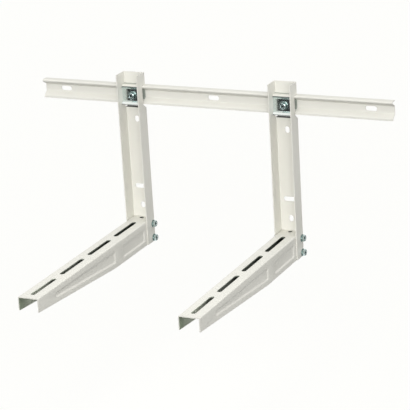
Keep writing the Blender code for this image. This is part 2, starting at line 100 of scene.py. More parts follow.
class Side(Enum):
    """The two brackets, by the X of their middle."""

    LEFT = -0.184
    RIGHT = 0.164

    @property
    def word(self) -> str:
        """The word that starts the names of this bracket's nodes."""
        return self.name.lower()


class Level(Enum):
    """The two bolts through a post and its arm."""

    UPPER = "upper"
    LOWER = "lower"


class NodeTree:
    """A short way to lay out shader nodes and link them."""

    def __init__(self, owner: bpy.types.Material | bpy.types.World) -> None:
        """Clears the nodes of the material or world that is laid out."""
        owner.use_nodes = True
        self.tree = owner.node_tree
        self.tree.nodes.clear()

    def add(self, kind: str, **sockets: object) -> bpy.types.Node:
        """Adds a node and fills in its inputs.

        Args:
            kind: Blender's name for the node type, without its ShaderNode prefix.
            **sockets: Input names with spaces as underscores. A node output is linked, and a value is set.

        Returns:
            The new node.
        """
        node = self.tree.nodes.new(f"ShaderNode{kind}")
        for name, value in sockets.items():
            self.plug(node.inputs[name.replace("_", " ")], value)
        return node

    def plug(self, socket: Socket, value: object) -> None:
        """Links a node output to a socket, or sets the socket's value."""
        if isinstance(value, Socket):
            self.tree.links.new(value, socket)
        else:
            socket.default_value = value

    def math(self, operation: str, first: object, second: object) -> Socket:
        """The result of a sum on two values or outputs."""
        node = self.tree.nodes.new("ShaderNodeMath")
        node.operation = operation
        self.plug(node.inputs[0], first)
        self.plug(node.inputs[1], second)
        return node.outputs[0]

    def place(self) -> Socket:
        """Position in the frame, in metres."""
        return self.add("TexCoord").outputs["Object"]

    def noise(self, place: Socket, scale: float, detail: float = 2.0) -> Socket:
        """The value of a noise texture at a place, in lumps of 1 / scale metres."""
        return self.add("TexNoise", Vector=place, Scale=scale, Detail=detail).outputs["Fac"]

    def between(self, value: object, low: float, high: float) -> Socket:
        """A value from 0 to 1, carried to a range."""
        return self.add("MapRange", Value=value, To_Min=low, To_Max=high).outputs["Result"]

    def blend(self, share: object, first: object, second: object) -> Socket:
        """A colour between two colours."""
        node = self.tree.nodes.new("ShaderNodeMix")
        node.data_type = "RGBA"
        self.plug(node.inputs["Factor"], share)
        self.plug(node.inputs["A"], first)
        self.plug(node.inputs["B"], second)
        return node.outputs["Result"]

    def window(self, value: object, low: float, high: float, soft: float) -> Socket:
        """1 where a value lies between two bounds, falling to 0 outside them over a soft width."""
        rise = self.add("MapRange", Value=value, From_Min=low - soft, From_Max=low)
        fall = self.add("MapRange", Value=value, From_Min=high, From_Max=high + soft, To_Min=1.0, To_Max=0.0)
        return self.math("MULTIPLY", rise.outputs["Result"], fall.outputs["Result"])

    def around(self, value: object, middle: float, half: float, soft: float) -> Socket:
        """1 where a value lies within half a width of a middle, falling to 0 over a soft width."""
        return self.window(value, middle - half, middle + half, soft)

    def most(self, values: Sequence[Socket]) -> Socket:
        """The largest of several values."""
        largest = values[0]
        for value in values[1:]:
            largest = self.math("MAXIMUM", largest, value)
        return largest

    def ramp(self, value: object, stops: Sequence[tuple[float, Colour]]) -> Socket:
        """A colour that follows a value through colour stops."""
        node = self.add("ValToRGB", Fac=value)
        spots = node.color_ramp.elements
        while len(spots) < len(stops):
            spots.new(1.0)
        for spot, (place, colour) in zip(spots, stops):
            spot.position = place
            spot.color = colour
        return node.outputs["Color"]

    def principled(self, **sockets: object) -> Socket:
        """A principled shader with these inputs."""
        return self.add("BsdfPrincipled", **sockets).outputs["BSDF"]

    def seen(self) -> Socket:
        """1 for what the camera sees, straight or through mirror or glass, and 0 for light on surfaces."""
        path = self.add("LightPath")
        mirror = self.math("MAXIMUM", path.outputs["Is Glossy Ray"], path.outputs["Is Transmission Ray"])
        return self.math("MAXIMUM", path.outputs["Is Camera Ray"], mirror)


@dataclass(frozen=True)
class Coating:
    """A finish that is laid out as shader nodes, with the name of its material."""

    name: str

    def material(self) -> bpy.types.Material:
        """The finish's material."""
        material = bpy.data.materials.new(self.name)
        nodes = NodeTree(material)
        nodes.add("OutputMaterial", Surface=self.surface(nodes))
        return material

    def surface(self, nodes: NodeTree) -> Socket:
        """The shader that gives the finish its look."""
        raise NotImplementedError


@dataclass(frozen=True)
class PowderCoat(Coating):
    """Satin powder coat on sheet steel: warm off-white, with a fine orange peel.

    Attributes:
        shadow_places: X of the middle of each box in which painted shadow darkens the paint.
        shadow_half: Half the boxes' width.
        shadow_depths: The boxes' bounds in Y.
        shadow_heights: The boxes' bounds in Z.
    """

    name: str = "off_white_powder_coat"
    colour: Colour = (0.79, 0.779, 0.722, 1.0)
    shade: Colour = (0.74, 0.732, 0.679, 1.0)
    roughness: Pair = (0.36, 0.50)
    peel_scale: float = 520.0
    peel_height: float = 0.00004
    peel_strength: float = 0.5
    cloud_scale: float = 14.0
    cloud_detail: float = 3.0
    speck_scale: float = 1900.0
    speck_least: float = 0.55
    speck_relief: float = 0.35
    # Boxes of painted shadow: inside them the paint is darkened where shade falls.
    shadow_places: tuple[float, ...] = ()
    shadow_colour: Colour = (0.36, 0.39, 0.35, 1.0)
    shadow_half: float = 0.0244
    shadow_depths: Pair = (-0.0065, -0.0014)
    shadow_heights: Pair = (-FAR, FAR)
    shadow_fade: float = 0.0005

    def painted_shadow(self, nodes: NodeTree, place: Socket) -> Socket:
        """Share of the paint that is darkened by painted shadow."""
        split = nodes.add("SeparateXYZ", Vector=place)
        sides = [nodes.around(split.outputs["X"], x, self.shadow_half, self.shadow_fade) for x in self.shadow_places]
        along = nodes.most(sides)
        deep = nodes.window(split.outputs["Y"], *self.shadow_depths, self.shadow_fade)
        high = nodes.window(split.outputs["Z"], *self.shadow_heights, self.shadow_fade)
        return nodes.math("MULTIPLY", along, nodes.math("MULTIPLY", deep, high))

    def surface(self, nodes: NodeTree) -> Socket:
        """The painted steel's shader."""
        place = nodes.place()
        cloud = nodes.noise(place, self.cloud_scale, self.cloud_detail)
        speck = nodes.noise(place, self.speck_scale)
        peel = nodes.noise(place, self.peel_scale)
        share = nodes.math("MULTIPLY", cloud, nodes.between(speck, self.speck_least, 1.0))
        relief = nodes.math("ADD", peel, nodes.math("MULTIPLY", speck, self.speck_relief))
        bump = nodes.add("Bump", Strength=self.peel_strength, Distance=self.peel_height, Height=relief)
        paint = nodes.blend(share, self.colour, self.shade)
        # Painted shadow inside the boxes.
        if self.shadow_places:
            paint = nodes.blend(self.painted_shadow(nodes, place), paint, self.shadow_colour)
        rough = nodes.between(peel, *self.roughness)
        return nodes.principled(Base_Color=paint, Roughness=rough, Normal=bump.outputs["Normal"])


@dataclass(frozen=True)
class BrightZinc(Coating):
    """Blue-passivated zinc plating: a bright metal with a cool tint, faint grain and dull patches.

    Attributes:
        highlight_top: Height below which the plating turns into a painted white highlight, or None.
    """

    name: str = "bright_zinc_plating"
    colour: Colour = (0.66, 0.77, 0.77, 1.0)
    dull: Colour = (0.42, 0.53, 0.52, 1.0)
    roughness: Pair = (0.13, 0.30)
    patch_scale: float = 260.0
    patch_detail: float = 4.0
    grain_scale: float = 2600.0
    grain_height: float = 0.00001
    grain_strength: float = 0.35
    highlight_top: float | None = None
    highlight_colour: Colour = (0.82, 0.85, 0.83, 1.0)
    highlight_fade: float = 0.0006

    def surface(self, nodes: NodeTree) -> Socket:
        """The plated steel's shader."""
        place = nodes.place()
        patch = nodes.noise(place, self.patch_scale, self.patch_detail)
        grain = nodes.noise(place, self.grain_scale)
        bump = nodes.add("Bump", Strength=self.grain_strength, Distance=self.grain_height, Height=grain)
        plating = nodes.blend(patch, self.colour, self.dull)
        metal: float | Socket = 1.0
        # Below highlight_top a painted white, non-metallic highlight replaces the plating.
        if self.highlight_top is not None:
            height = nodes.add("SeparateXYZ", Vector=place).outputs["Z"]
            highlight = nodes.window(height, -FAR, self.highlight_top, self.highlight_fade)
            plating = nodes.blend(highlight, plating, self.highlight_colour)
            metal = nodes.math("SUBTRACT", 1.0, highlight)
        rough, normal = nodes.between(patch, *self.roughness), bump.outputs["Normal"]
        return nodes.principled(Base_Color=plating, Metallic=metal, Roughness=rough, Normal=normal)


@dataclass(frozen=True)
class PaintedArmShade(Coating):
    """Powder coat inside an arm, with painted light and shade: darker towards the wall, where less light
    gets in.

    A band of painted light lies a little in from the free end. Soft bands of painted shade lie behind the
    bridges between the slots, where light through the slots does not reach.

    Attributes:
        reach: Y of the free end and of where the painted shade is darkest.
        stops: The colours on that way, by their share of it: painted light near the free end, painted shade
            deeper in.
        missed: Colour of the painted shade bands.
        missed_first: Y of the middle of the one nearest to the free end.
        missed_pitch: From one of them to the next.
        missed_amounts: How much each of them shows.
        missed_half: Half their width, without their soft ends.
    """

    name: str = "arm_inside_painted_shade"
    reach: Pair = (-0.51, -0.10)
    stops: tuple[tuple[float, Colour], ...] = (
        (0.02, (0.38, 0.44, 0.33, 1.0)),
        (0.16, (0.85, 0.88, 0.78, 1.0)),
        (0.38, (0.42, 0.445, 0.39, 1.0)),
        (1.0, (0.15, 0.168, 0.138, 1.0)),
    )
    missed: Colour = (0.07, 0.075, 0.065, 1.0)
    missed_first: float = -0.37
    missed_pitch: float = 0.118
    missed_amounts: tuple[float, ...] = (0.45, 0.6, 0.65, 0.7)
    missed_half: float = 0.006
    missed_fade: float = 0.022
    roughness: Pair = (0.55, 0.75)
    sheen: float = 0.12
    patch_scale: float = 60.0
    patch_detail: float = 4.0
    patch_shift: float = 0.04

    def surface(self, nodes: NodeTree) -> Socket:
        """The shader of the arm's inside, with its painted light and shade."""
        place = nodes.place()
        patch = nodes.noise(place, self.patch_scale, self.patch_detail)
        depth = nodes.add("SeparateXYZ", Vector=place).outputs["Y"]
        way = nodes.add("MapRange", Value=depth, From_Min=self.reach[0], From_Max=self.reach[1])
        shift = nodes.between(patch, -self.patch_shift, self.patch_shift)
        paint = nodes.ramp(nodes.math("ADD", way.outputs["Result"], shift), self.stops)
        # Soft bands of painted shade behind the bridges between the slots; the sheen fades out where they
        # show.
        all_shades = []
        for number, amount in enumerate(self.missed_amounts):
            middle = self.missed_first + number * self.missed_pitch
            one_shade = nodes.around(depth, middle, self.missed_half, self.missed_fade)
            all_shades.append(nodes.math("MULTIPLY", one_shade, amount))
        bridge_shade = nodes.most(all_shades)
        return nodes.principled(
            Base_Color=nodes.blend(bridge_shade, paint, self.missed),
            Roughness=nodes.between(patch, *self.roughness),
            Specular_IOR_Level=nodes.between(bridge_shade, self.sheen, 0.0),
        )


@dataclass(frozen=True)
class ShadedShearedEdge(Coating):
    """Sheared edge of plated steel: dull bare steel with fine streaks across the sheet, darkened further
    with painted shade.
    """

    name: str = "shaded_sheared_edge"
    colour: Colour = (0.13, 0.16, 0.155, 1.0)
    streak: Colour = (0.24, 0.28, 0.27, 1.0)
    roughness: float = 0.55
    streak_scale: float = 2200.0
    stretch: Point = (1.0, 0.15, 0.15)

    def surface(self, nodes: NodeTree) -> Socket:
        """The sheared edge's shader."""
        along = nodes.add("Mapping", Vector=nodes.place(), Scale=self.stretch).outputs["Vector"]
        colour = nodes.blend(nodes.noise(along, self.streak_scale), self.colour, self.streak)
        return nodes.principled(Base_Color=colour, Metallic=1.0, Roughness=self.roughness)


@dataclass(frozen=True)
class StudioFloor(Coating):
    """Pale floor: near white where it is seen, dark where it would send light up, and clear from below."""

    name: str = "pale_floor"
    seen_colour: Colour = (0.25, 0.25, 0.245, 1.0)
    lit_colour: Colour = (0.06, 0.06, 0.055, 1.0)
    glow_colour: Colour = (1.0, 1.0, 0.985, 1.0)
    glow: float = 0.745

    def surface(self, nodes: NodeTree) -> Socket:
        """The floor's shader."""
        paint = nodes.add("BsdfDiffuse", Color=nodes.blend(nodes.seen(), self.lit_colour, self.seen_colour))
        strength = nodes.math("MULTIPLY", nodes.seen(), self.glow)
        glow = nodes.add("Emission", Color=self.glow_colour, Strength=strength)
        both = nodes.add("AddShader")
        nodes.plug(both.inputs[0], paint.outputs["BSDF"])
        nodes.plug(both.inputs[1], glow.outputs["Emission"])
        back = nodes.add("NewGeometry").outputs["Backfacing"]
        below = nodes.math("MULTIPLY", back, nodes.add("LightPath").outputs["Is Camera Ray"])
        floor = nodes.add("MixShader", Fac=below)
        nodes.plug(floor.inputs[1], both.outputs["Shader"])
        nodes.plug(floor.inputs[2], nodes.add("BsdfTransparent").outputs["BSDF"])
        return floor.outputs["Shader"]


@dataclass(frozen=True)
class DarkCard(Coating):
    """Plain dark card for the metal to reflect."""

    name: str = "dark_card"
    colour: Colour = (0.012, 0.018, 0.018, 1.0)

    def surface(self, nodes: NodeTree) -> Socket:
        """The card's shader."""
        return nodes.add("BsdfDiffuse", Color=self.colour).outputs["BSDF"]


def put_in_scene(name: str, data: bpy.types.ID) -> bpy.types.Object:
    """An object of this name and data, linked into the scene."""
    thing = bpy.data.objects.new(name, data)
    bpy.context.scene.collection.objects.link(thing)
    return thing


@dataclass
class Form:
    """A closed mesh that isn't made yet.

    Attributes:
        points: Its points, in the frame.
        faces: Its faces, by the numbers of their points.
        inner: Numbers of the faces on a sheet's inner side.
        rim: Numbers of the faces along a sheet's cut edges.
    """

    points: list[Vector]
    faces: list[tuple[int, ...]]
    inner: range = range(0)
    rim: range = range(0)


def rounded(core: Sequence[Pair], radius: float) -> Loop:
    """Outline at a distance from a point, a line or a convex polygon given counter-clockwise.

    Args:
        core: The corner points: one for a circle, two for a slot, more for a rounded polygon.
        radius: The distance from the core, which is the radius of every corner.

    Returns:
        The outline, counter-clockwise.
    """
    if len(core) == 1:
        angles = [math.pi / 2 * step / ARC_STEPS for step in range(4 * ARC_STEPS)]
        return [(core[0][0] + radius * math.cos(a), core[0][1] + radius * math.sin(a)) for a in angles]
    loop: Loop = []
    for index, (u, v) in enumerate(core):
        before, after = core[index - 1], core[(index + 1) % len(core)]
        start = math.atan2(v - before[1], u - before[0]) - math.pi / 2
        end = math.atan2(after[1] - v, after[0] - u) - math.pi / 2
        turn = (end - start) % (2 * math.pi)
        parts = max(2, round(turn / (math.pi / 2) * ARC_STEPS))
        for part in range(parts + 1):
            angle = start + turn * part / parts
            loop.append((u + radius * math.cos(angle), v + radius * math.sin(angle)))
    return loop


def level_slot(along: float, across: float, reach: float, radius: float) -> Loop:
    """Outline of a slot that runs along the axis, by its middle, half its straight length and its radius."""
    return rounded([(along - reach, across), (along + reach, across)], radius)


def band(start: float, end: float, width: float) -> Loop:
    """Rectangle over a flat's whole width, between two distances along the axis."""
    return [(start, 0.0), (end, 0.0), (end, width), (start, width)]


def mirrored(loop: Loop, width: float) -> Loop:
    """A loop carried to the opposite flange, where the places across run the other way."""
    return [(u, width - v) for u, v in reversed(loop)]


def channel(middle: float, reach: float, edge: float, web: float) -> Loop:
    """Corners of a channel's mid-line: from one flange's edge round the web to the other's."""
    return [(middle - reach, edge), (middle - reach, web), (middle + reach, web), (middle + reach, edge)]


def directions(first: Vector, last: Vector) -> tuple[Vector, Vector]:
    """Direction from one place of a section to another, and the direction to the left of it."""
    across = (last - first).normalized()
    return across, Vector((-across.y, across.x))


@dataclass
class SheetSkin:
    """Both faces of a folded sheet, built flat by flat and bend by bend along one section.

    Attributes:
        corners: Corners of the section's mid-line, with its two ends.
        plane: Directions of the section's first and second coordinate.
        axis: Direction that the section runs along.
        thickness: The sheet's thickness.
        inner_radius: Radius inside each bend.
        bend_steps: Strips in each bend.
    """

    corners: Sequence[Pair]
    plane: tuple[Vector, Vector]
    axis: Vector
    thickness: float = 0.002
    inner_radius: float = 0.001
    bend_steps: int = 8
    points: list[tuple[Vector, Vector]] = field(default_factory=list)
    faces: list[tuple[int, ...]] = field(default_factory=list)
    index: dict[tuple[int, ...], int] = field(default_factory=dict)

    def __post_init__(self) -> None:
        """Sets out the flats between the bends."""
        self.line = [Vector(corner) for corner in self.corners]
        self.radius = self.inner_radius + self.thickness / 2
        self.starts: list[Vector] = []
        self.ends: list[Vector] = []
        for number, (first, last) in enumerate(zip(self.line, self.line[1:])):
            along = (last - first).normalized()
            self.starts.append(first + along * self.setback(number))
            self.ends.append(last - along * self.setback(number + 1))

    def turn(self, corner: int) -> float:
        """Signed angle through which the section turns at a corner."""
        before = self.line[corner] - self.line[corner - 1]
        after = self.line[corner + 1] - self.line[corner]
        return math.atan2(before.x * after.y - before.y * after.x, before.dot(after))

    def setback(self, corner: int) -> float:
        """Distance from a corner to where its bend begins, or 0 at the section's two ends."""
        if corner in (0, len(self.line) - 1):
            return 0.0
        return self.radius * math.tan(abs(self.turn(corner)) / 2)

    def width(self, flat: int) -> float:
        """Width of a flat between its bends."""
        return (self.ends[flat] - self.starts[flat]).length

    def bend_centre(self, corner: int) -> Vector:
        """Centre of the bend at a corner, in the section plane."""
        _, left_side = directions(self.line[corner - 1], self.line[corner])
        return self.ends[corner - 1] + left_side * self.radius * math.copysign(1.0, self.turn(corner))

    def pair(self, left: Vector, right: Vector, along: float, right_along: float) -> int:
        """Index of a skin point, by its section place on each face and its distances along the axis."""
        first = self.plane[0] * left.x + self.plane[1] * left.y + self.axis * along
        last = self.plane[0] * right.x + self.plane[1] * right.y + self.axis * right_along
        key = tuple(round(value * POINTS_PER_METRE) for value in (*first, *last))
        if key not in self.index:
            self.index[key] = len(self.points)
            self.points.append((first, last))
        return self.index[key]

    def flat_point(self, flat: int, left: Pair, right: Pair | None = None, depths: Pair = (0.0, 0.0)) -> int:
        """Index of the skin point at a place of a flat.

        Args:
            flat: Number of the flat.
            left: Place on the left face: along the axis, and across from the flat's start.
            right: Place on the right face, or None where it is straight behind.
            depths: How far each face is pressed towards the right side.

        Returns:
            The point's index.
        """
        right = right or left
        across, left_side = directions(self.starts[flat], self.ends[flat])
        half = self.thickness / 2
        first = self.starts[flat] + across * left[1] + left_side * (half - depths[0])
        last = self.starts[flat] + across * right[1] - left_side * (half + depths[1])
        return self.pair(first, last, left[0], right[0])

    def add_flat(
        self, flat: int, outline: Loop, holes: Sequence[Loop] = (), panels: Sequence[PressedPanel] = ()
    ) -> None:
        """Adds the skin of one flat.

        Args:
            flat: Number of the flat.
            outline: Its edge, as (along, across) points.
            holes: Outlines of the holes through it.
            panels: Panels pressed into it.
        """
        loops = [[self.flat_point(flat, place) for place in loop] for loop in (outline, *holes)]
        places = [outline, *holes]
        for panel in panels:
            edge, place = panel.press(self, flat)
            loops.append(edge)
            places.append(place)
        indices = [index for loop in loops for index in loop]
        triangles = tessellate_polygon([[Vector((u, v, 0.0)) for u, v in loop] for loop in places])
        self.faces += [tuple(indices[corner] for corner in triangle) for triangle in triangles]

    def add_flanges(self, outline: Loop, holes: Sequence[Loop], panels: Sequence[PressedPanel] = ()) -> None:
        """Adds the first flange of a channel and its mirror image, the third flat.

        Args:
            outline: The first flange's edge, as (along, across) points.
            holes: Outlines of the holes through each.
            panels: Panels pressed into each.
        """
        width = self.width(0)
        self.add_flat(0, outline, holes, panels)
        edge, *openings = (mirrored(loop, width) for loop in (outline, *holes))
        self.add_flat(2, edge, openings, [panel.mirror(width) for panel in panels])

    def add_bends(self, *spans: Pair) -> None:
        """Adds every bend, between the two distances along the axis that each span gives."""
        for corner in range(1, len(self.line) - 1):
            for start, end in spans:
                self.add_bend(corner, start, end)

    def add_length(self, start: float, end: float, holed: int, holes: Sequence[Loop]) -> None:
        """Adds every flat and bend between two distances along the axis, with holes through one flat."""
        for flat in range(len(self.starts)):
            outline = band(start, end, self.width(flat))
            self.add_flat(flat, outline, holes if flat == holed else ())
        self.add_bends((start, end))

    def add_bend(self, corner: int, start: float, end: float) -> None:
        """Adds the bend at a corner between two distances along the axis."""
        turn = self.turn(corner)
        side = math.copysign(1.0, turn)
        _, left_side = directions(self.line[corner - 1], self.line[corner])
        centre = self.bend_centre(corner)
        rows = []
        for step in range(self.bend_steps + 1):
            outward = Matrix.Rotation(turn * step / self.bend_steps, 2) @ left_side
            middle = centre - outward * self.radius * side
            left = middle + outward * self.thickness / 2
            right = middle - outward * self.thickness / 2
            rows.append([self.pair(left, right, along, along) for along in (start, end)])
        for row, after in zip(rows, rows[1:]):
            self.faces.append((row[0], row[1], after[1], after[0]))

    def solid(self) -> Form:
        """The closed form: both skins, joined by a rim along every cut edge."""
        count = len(self.points)
        skin = len(self.faces)
        edges = (edge for face in self.faces for edge in zip(face, (*face[1:], face[0])))
        used = Counter((min(edge), max(edge)) for edge in edges)
        faces = list(self.faces)
        faces += [tuple(index + count for index in reversed(face)) for face in self.faces]
        faces += [(a, b, b + count, a + count) for (a, b), times in used.items() if times == 1]
        points = [left for left, _ in self.points] + [right for _, right in self.points]
        return Form(points, faces, range(skin, 2 * skin), range(2 * skin, len(faces)))


@dataclass
class PressedPanel:
    """A panel pressed into a web, with soft shoulders all round.

    Attributes:
        core: Corners of its core polygon, counter-clockwise, in the flat's own places.
        floor_core: The same corners at its floor, where one side slopes more gently.
        corner: Radius of its corners.
        depth: How deep it is pressed.
        run: Width of its sloping wall.
        rings: Strips in the wall.
    """

    core: Loop
    floor_core: Loop
    corner: float = 0.0055
    depth: float = 0.002
    run: float = 0.0048
    rings: int = 8

    def profile(self, ring: int) -> tuple[float, float, float]:
        """The wall's inset, depth and slope angle at one ring, along a smooth step."""
        share = ring / self.rings
        depth = self.depth * share * share * (3 - 2 * share)
        slope = math.atan(self.depth * 6 * share * (1 - share) / self.run)
        return self.run * share, depth, slope

    def core_at(self, ring: int) -> Loop:
        """Corners of the core polygon at one ring."""
        share = ring / self.rings
        pairs = zip(self.core, self.floor_core)
        return [(a + (c - a) * share, b + (d - b) * share) for (a, b), (c, d) in pairs]

    def mirror(self, width: float) -> PressedPanel:
        """The same panel in the opposite flange."""
        return PressedPanel(mirrored(self.core, width), mirrored(self.floor_core, width), self.corner)

    def press(self, skin: SheetSkin, flat: int) -> tuple[list[int], Loop]:
        """Adds the wall and the floor to a sheet's skin.

        Args:
            skin: The sheet.
            flat: Number of the flat.

        Returns:
            The skin points of the panel's edge and their places.
        """
        edges = []
        for ring in range(self.rings + 1):
            inset, depth, slope = self.profile(ring)
            spread = skin.thickness * math.sin(slope)
            sunk = depth + skin.thickness * (math.cos(slope) - 1.0)
            core = self.core_at(ring)
            left = rounded(core, self.corner - inset)
            right = rounded(core, self.corner - inset + spread)
            edges.append([skin.flat_point(flat, a, b, (depth, sunk)) for a, b in zip(left, right)])
        for outer, inner in zip(edges, edges[1:]):
            for place in range(len(outer)):
                after = (place + 1) % len(outer)
                skin.faces.append((outer[place], outer[after], inner[after], inner[place]))
        skin.faces.append(tuple(edges[-1]))
        return edges[0], rounded(self.core, self.corner)


class Maker:
    """Turns points and faces into finished pieces that ride on the frame."""

    def __init__(self) -> None:
        """Makes the finishes' materials."""
        middles = tuple(side.value for side in Side)
        # A dark line of painted shadow on each post's web, just under its clamp plate.
        shadowed_post_coat = PowderCoat(
            "post_powder_coat",
            shadow_places=middles,
            shadow_colour=(0.06, 0.065, 0.058, 1.0),
            shadow_half=0.0226,
            shadow_depths=(-0.0024, -0.0003),
            shadow_heights=(-0.0320, -0.0270),
        )
        # Lighter zinc for the clamp plates, with a painted white highlight on their lower lips.
        plate_zinc = BrightZinc(
            "plate_zinc", (0.92, 0.97, 0.96, 1.0), (0.68, 0.78, 0.77, 1.0), highlight_top=-0.0166
        )
        # Darker zinc for the washers: painted shade round the bolt heads and nuts.
        washer_zinc = BrightZinc("washer_zinc", (0.30, 0.39, 0.37, 1.0), (0.17, 0.23, 0.22, 1.0))
        self.materials = {
            Finish.POWDER_COAT: PowderCoat().material(),
            # Painted shadow on the rail's web inside each post, where the post and its clamp shade it.
            Finish.RAIL_COAT: PowderCoat("rail_powder_coat", shadow_places=middles).material(),
            Finish.POST_COAT: shadowed_post_coat.material(),
            Finish.PLATE_ZINC: plate_zinc.material(),
            Finish.BOLT_ZINC: BrightZinc().material(),
            Finish.WASHER_ZINC: washer_zinc.material(),
        }
        # Painted light and shade for the arms' insides.
        self.inside_shade = PaintedArmShade().material()
        # The clamp plates' cut edges: bare steel, darkened with painted shade.
        self.shaded_sheared_edge = ShadedShearedEdge().material()

    def piece(
        self,
        node: str,
        finish: Finish,
        form: Form,
        edge: float = 0.0,
        patch: Sequence[int] = (),
        patch_material: bpy.types.Material | None = None,
    ) -> bpy.types.Object:
        """Makes the piece that stands for one node of the frame.

        Args:
            node: Name of the node.
            finish: Its finish.
            form: Its form.
            edge: Radius that softens its sharp edges, or 0.
            patch: Numbers of the faces that look different.
            patch_material: What those faces look like.

        Returns:
            The piece.
        """
        mesh = bpy.data.meshes.new(f"{node}_form")
        mesh.from_pydata([tuple(point) for point in form.points], [], [list(face) for face in form.faces])
        mesh.materials.append(self.materials[finish])
        if patch_material:
            mesh.materials.append(patch_material)
            for number in patch:
                mesh.polygons[number].material_index = 1
        work = bmesh.new()
        work.from_mesh(mesh)
        bmesh.ops.recalc_face_normals(work, faces=work.faces)
        between = [line for line in work.edges if all(len(face.verts) == 3 for face in line.link_faces)]
        bmesh.ops.dissolve_limit(work, angle_limit=MERGE_ANGLE, edges=between, delimit={"MATERIAL"})
        work.to_mesh(mesh)
        work.free()
        mesh.shade_smooth()
        mesh.set_sharp_from_angle(angle=SHARP_ANGLE)
        piece = put_in_scene(f"{node}_dressed", mesh)
        if edge:
            soften = piece.modifiers.new("soft_edges", "BEVEL")
            soften.width = edge
            soften.segments = 2
            soften.limit_method = "ANGLE"
            soften.angle_limit = SOFTEN_ANGLE
            soften.harden_normals = True
        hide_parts(node)
        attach(piece, BODY)
        log.info("%s: %d points, %s", piece.name, len(form.points), finish.name.lower())
        return piece


@dataclass
class WallRail:
    """The folded rail along the wall, with three slotted fixing holes."""

    length: float = 0.800
    height: float = 0.041
    web_height: float = 0.0165
    top_slope: float = math.radians(31.0)
    lip_depth: float = 0.013
    lip_height: float = 0.0045
    hole_length: float = 0.025
    hole_width: float = 0.010
    hole_inset: float = 0.050
    sheet: float = 0.002

    def skin(self) -> SheetSkin:
        """The rail's section from its lip up to its top flange, as (y, z) corners."""
        half = self.sheet / 2
        top = self.height / 2 - half
        web_half = self.web_height / 2
        nose = half + (top - web_half) / math.tan(self.top_slope)
        lip, low = self.lip_depth - half, -self.height / 2
        corners = [(-lip, low), (-lip, low + self.lip_height), (-half, -web_half)]
        corners += [(-half, web_half), (-nose, top), (0.0, top)]
        return SheetSkin(corners, (NORTH, UP), EAST, self.sheet)

    def nose(self) -> tuple[Vector, float]:
        """Centre and outer radius of the round nose, in the section plane."""
        skin = self.skin()
        nose_bend = 4
        return skin.bend_centre(nose_bend), skin.radius + self.sheet / 2

    def depth(self) -> float:
        """How far the nose stands off the wall."""
        centre, radius = self.nose()
        return radius - centre.x

    def build(self, maker: Maker) -> None:
        """Builds the rail."""
        skin = self.skin()
        end = self.length / 2
        web_flat = 2
        across, radius = skin.width(web_flat) / 2, self.hole_width / 2
        reach = (self.hole_length - self.hole_width) / 2
        places = (self.hole_inset - end, 0.0, end - self.hole_inset)
        holes = [level_slot(place, across, reach, radius) for place in places]
        skin.add_length(-end, end, web_flat, holes)
        maker.piece("wall_rail", Finish.RAIL_COAT, skin.solid(), SHEET_EDGE)


@dataclass
class Post:
    """One post: a U channel hooked over the rail by a notch in its back."""

    rail: WallRail
    width: float = 0.050
    depth: float = 0.0365
    height: float = 0.376
    above_rail: float = 0.0255
    notch_chamfer: float = 0.012
    notch_web_gap: float = 0.008
    notch_relief: float = 0.0015
    hole_width: float = 0.010
    hole_length: float = 0.014
    slot_length: float = 0.030
    drops: tuple[float, float, float] = (0.1035, 0.2545, 0.297)
    bolt_hole: float = 0.0086
    bolt_from_wall: float = 0.009
    sheet: float = 0.002

    @property
    def top(self) -> float:
        """Height of the post's top."""
        return self.rail.height / 2 + self.above_rail

    @property
    def bottom(self) -> float:
        """Height of the post's foot."""
        return self.top - self.height

    def build(self, maker: Maker, side: Side, bolt_heights: Sequence[float]) -> None:
        """Builds the post of one side.

        Args:
            maker: Makes the piece.
            side: Its bracket.
            bolt_heights: Heights of its bolt holes.
        """
        half = self.sheet / 2
        section = channel(side.value, self.width / 2 - half, -self.depth, -half)
        skin = SheetSkin(section, (EAST, NORTH), UP, self.sheet)
        flange, web = skin.width(0), skin.width(1)
        notch_depth = self.rail.depth() + FIT
        notch_top = self.rail.height / 2 + FIT
        notch_bottom = -notch_top
        notch_front = self.depth - notch_depth
        lower_end = notch_bottom - self.notch_chamfer * (flange - notch_front) / notch_depth
        outline = [(self.bottom, 0.0), (self.top, 0.0), (self.top, flange), (notch_top, flange)]
        outline += [(notch_top, notch_front), (notch_bottom, notch_front)]
        outline += [(lower_end, flange), (self.bottom, flange)]
        bolt_across = self.depth - self.bolt_from_wall
        skin.add_flanges(outline, [rounded([(z, bolt_across)], self.bolt_hole / 2) for z in bolt_heights])
        skin.add_flat(1, self.lower_web(web, lower_end, notch_bottom), self.web_holes(web / 2))
        skin.add_flat(1, band(notch_top, self.top, web))
        skin.add_bends((self.bottom, lower_end), (notch_top, self.top))
        maker.piece(f"{side.word}_post", Finish.POST_COAT, skin.solid(), SHEET_EDGE)

    def lower_web(self, web: float, lower_end: float, notch_bottom: float) -> Loop:
        """Outline of the web below the notch, with its raised middle between two reliefs."""
        low, high = self.notch_relief, web - self.notch_relief
        edge = notch_bottom - self.notch_web_gap
        loop = [(self.bottom, 0.0), (lower_end, 0.0), (lower_end, low), (edge, low)]
        return loop + [(edge, high), (lower_end, high), (lower_end, web), (self.bottom, web)]

    def web_holes(self, middle: float) -> list[Loop]:
        """The upright hole, the level slot and the lower upright hole for wall anchors."""
        radius = self.hole_width / 2
        upright = (self.hole_length - self.hole_width) / 2
        level = (self.slot_length - self.hole_width) / 2
        upper, across, lower = (self.top - drop for drop in self.drops)
        return [
            level_slot(upper, middle, upright, radius),
            rounded([(across, middle - level), (across, middle + level)], radius),
            level_slot(lower, middle, upright, radius),
        ]


